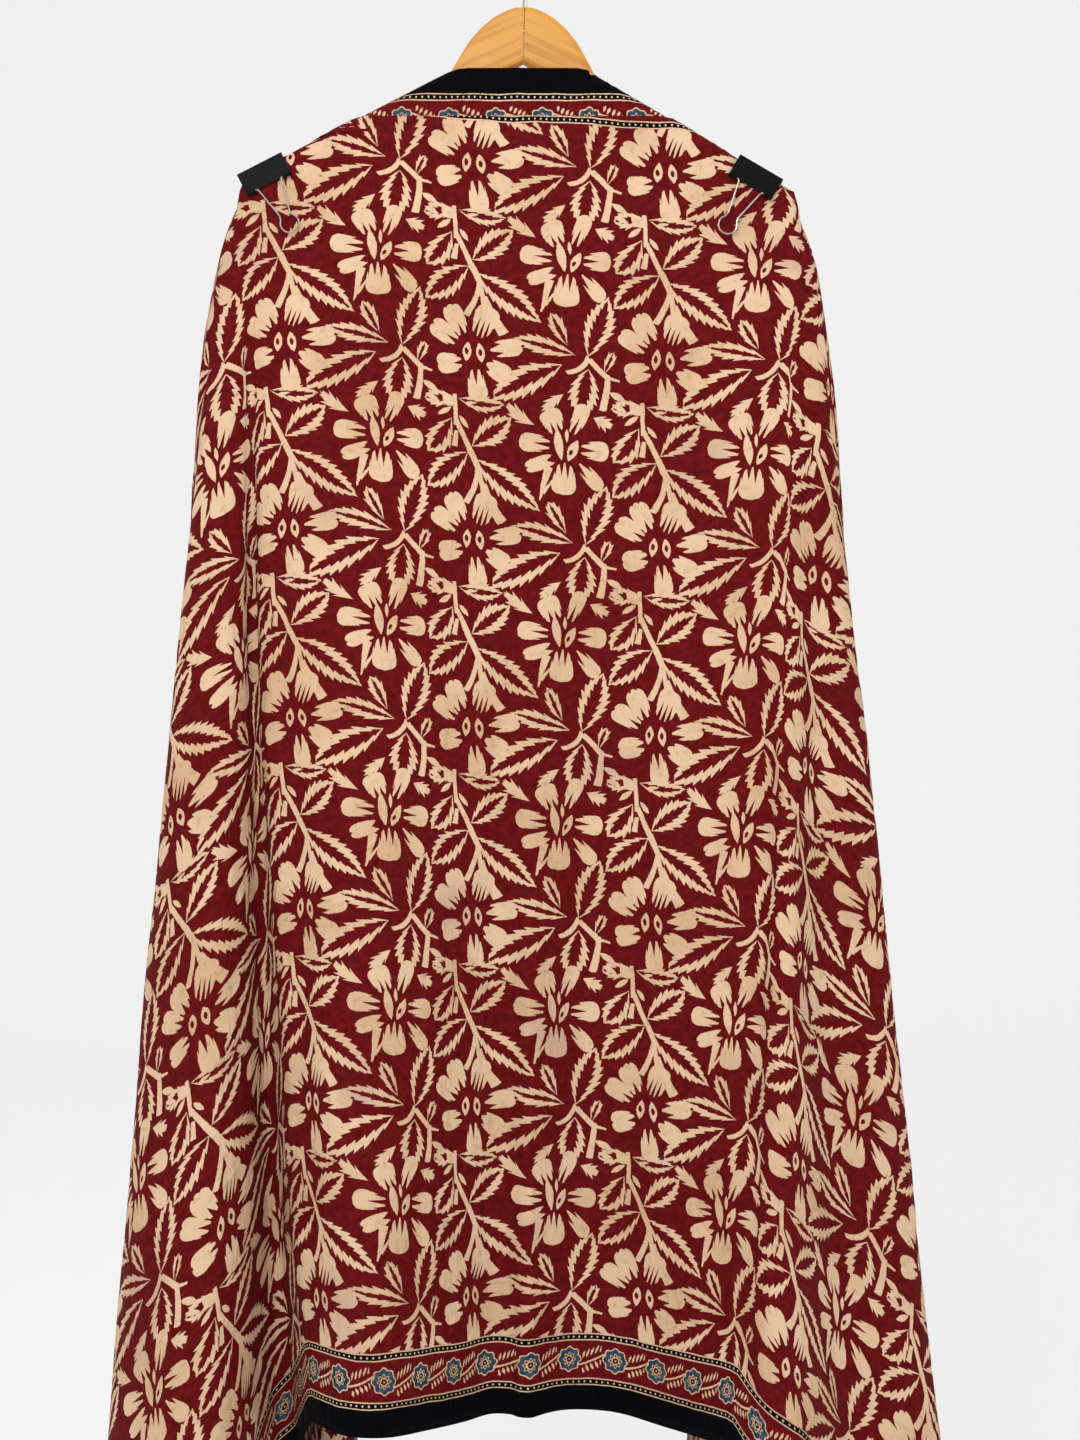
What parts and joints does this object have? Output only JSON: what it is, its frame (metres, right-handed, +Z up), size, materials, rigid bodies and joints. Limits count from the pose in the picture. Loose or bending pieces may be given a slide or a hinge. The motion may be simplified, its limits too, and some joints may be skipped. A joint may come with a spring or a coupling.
{
  "type": "ajrakh cloth on a coat hanger",
  "caption": "Wide block-printed cloth draped like a cape over a wooden coat hanger and held on its shoulders by spring clips.",
  "frame": {"origin": "inner top of the hook's bend, where it bears on a rail", "axes": "+Z up, the way the hook is held up; -Y the near side, with the broad printed panel; +X to the right as seen from the near side"},
  "size_m": [0.7392, 0.3704, 1.6064],
  "materials": {
    "printed_cloth": "soft sheen",
    "wood": "satin lacquer",
    "steel_wire": "drawn wire",
    "black_enamel": "black enamel"
  },
  "bodies": {
    "root": {"cloth": "printed_cloth", "hanger_left": "wood", "hanger_right": "wood", "hook": "steel_wire", "left_clip": "black_enamel", "left_clip_near_handle": "steel_wire", "left_clip_away_handle": "steel_wire", "right_clip": "black_enamel", "right_clip_near_handle": "steel_wire", "right_clip_away_handle": "steel_wire"}
  },
  "joints": []
}
